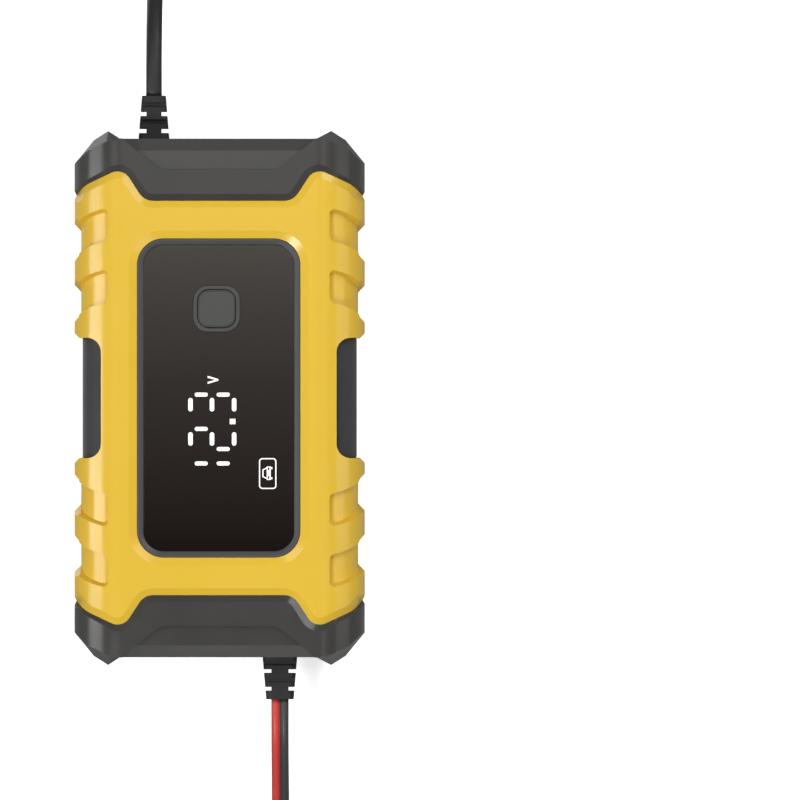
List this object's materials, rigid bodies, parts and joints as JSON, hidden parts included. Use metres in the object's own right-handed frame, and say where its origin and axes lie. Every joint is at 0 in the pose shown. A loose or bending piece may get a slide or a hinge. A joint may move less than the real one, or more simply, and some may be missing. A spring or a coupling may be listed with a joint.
{
  "type": "car battery charger",
  "caption": "Hand-sized automatic car battery charger with bumper end caps, display, round mains cord, plug, and a twin output lead that ends in two spring battery clips.",
  "frame": {"origin": "on the floor under the middle of the housing, which lies on its four rear screw bosses with the display up", "axes": "+Z out of the front face, +Y along the housing towards the mains end, +X to the right of a viewer who faces the display with the mains end up"},
  "size_m": [0.1105, 0.3994, 0.046],
  "materials": {
    "yellow_housing": "satin moulded, fine spark texture",
    "dark_cap": "matte moulded, dark warm grey",
    "soft_pad": "soft matte elastomer",
    "bezel_plastic": "satin dark grey",
    "window": "gloss, near black and opaque when unlit",
    "key_plastic": "satin grey key",
    "label_frame": "matte dark",
    "label_sheet": "matte printed sheet, left bare",
    "steel": "bright zinc plated",
    "spring_steel": "spring wire",
    "circuit_board": "solder mask",
    "component_dark": "moulded component",
    "component_brown": "fuse and winding lacquer",
    "component_yellow": "film capacitor case and winding tape",
    "component_blue": "capacitor sleeve",
    "ferrite": "ferrite",
    "aluminium": "plain rolled",
    "reflector": "digit reflector",
    "black_cord": "cord jacket and moulded plug",
    "red_cord": "cord jacket",
    "brass": "plug blades",
    "red_plastic": "red grip",
    "black_plastic": "black grip"
  },
  "bodies": {
    "housing": {"front_shell": "yellow_housing", "rear_shell": "yellow_housing", "mains_end_cap": "dark_cap", "lead_end_cap": "dark_cap", "side_pad_left": "soft_pad", "side_pad_right": "soft_pad", "display_bezel": "bezel_plastic", "display_window": "window", "button_surround": "key_plastic", "label_frame": "label_frame", "rating_label": "label_sheet", "housing_screws": "steel", "main_board": "circuit_board", "board_screws": "steel", "input_fuse": "component_brown", "suppression_capacitor": "component_yellow", "line_choke": "component_brown", "bulk_capacitor": "component_blue", "primary_heatsink": "aluminium", "switching_transistor": "component_dark", "transformer_core": "ferrite", "transformer_winding": "component_yellow", "output_heatsink": "aluminium", "output_diode": "component_dark", "output_capacitors": "component_blue", "output_choke": "component_brown", "board_link": "component_dark", "display_board": "circuit_board", "display_screws": "steel", "digit_module": "reflector", "tact_switch": "component_dark", "mains_strain_relief": "black_cord", "mains_cord": "black_cord", "mains_coil": "black_cord", "mains_tail": "black_cord", "mains_tie": "black_plastic", "mains_plug": "black_cord", "plug_blades": "brass", "lead_strain_relief": "black_cord", "dc_lead": "red_cord", "dc_coil": "red_cord", "dc_tie": "black_plastic", "lead_splitter": "black_cord", "red_tail": "red_cord", "black_tail": "black_cord", "red_clip_fixed_jaw": "steel", "red_clip_pin": "steel", "red_clip_spring": "spring_steel", "red_clip_fixed_grip": "red_plastic", "black_clip_fixed_jaw": "steel", "black_clip_pin": "steel", "black_clip_spring": "spring_steel", "black_clip_fixed_grip": "black_plastic"},
    "key": {"mode_button": "key_plastic", "switch_plunger": "reflector"},
    "red_jaw": {"red_clip_moving_jaw": "steel", "red_clip_moving_grip": "red_plastic"},
    "black_jaw": {"black_clip_moving_jaw": "steel", "black_clip_moving_grip": "black_plastic"}
  },
  "joints": [
    {"name": "key_press", "type": "slide", "parent": "housing", "child": "key", "axis": [0, 0, -1], "range_m": [0, 0.0005], "stiffness_N_per_m": 200, "springref_m": -0.0005},
    {"name": "red_clip_open", "type": "hinge", "parent": "housing", "child": "red_jaw", "pos_m": [0.034, -0.1794, 0.0112], "axis": [-1, 0, 0], "range_deg": [0, 30], "stiffness_Nm_per_rad": 0.15, "springref_deg": -34.38},
    {"name": "black_clip_open", "type": "hinge", "parent": "housing", "child": "black_jaw", "pos_m": [0.052, -0.1794, 0.0112], "axis": [-1, 0, 0], "range_deg": [0, 30], "stiffness_Nm_per_rad": 0.15, "springref_deg": -34.38}
  ]
}
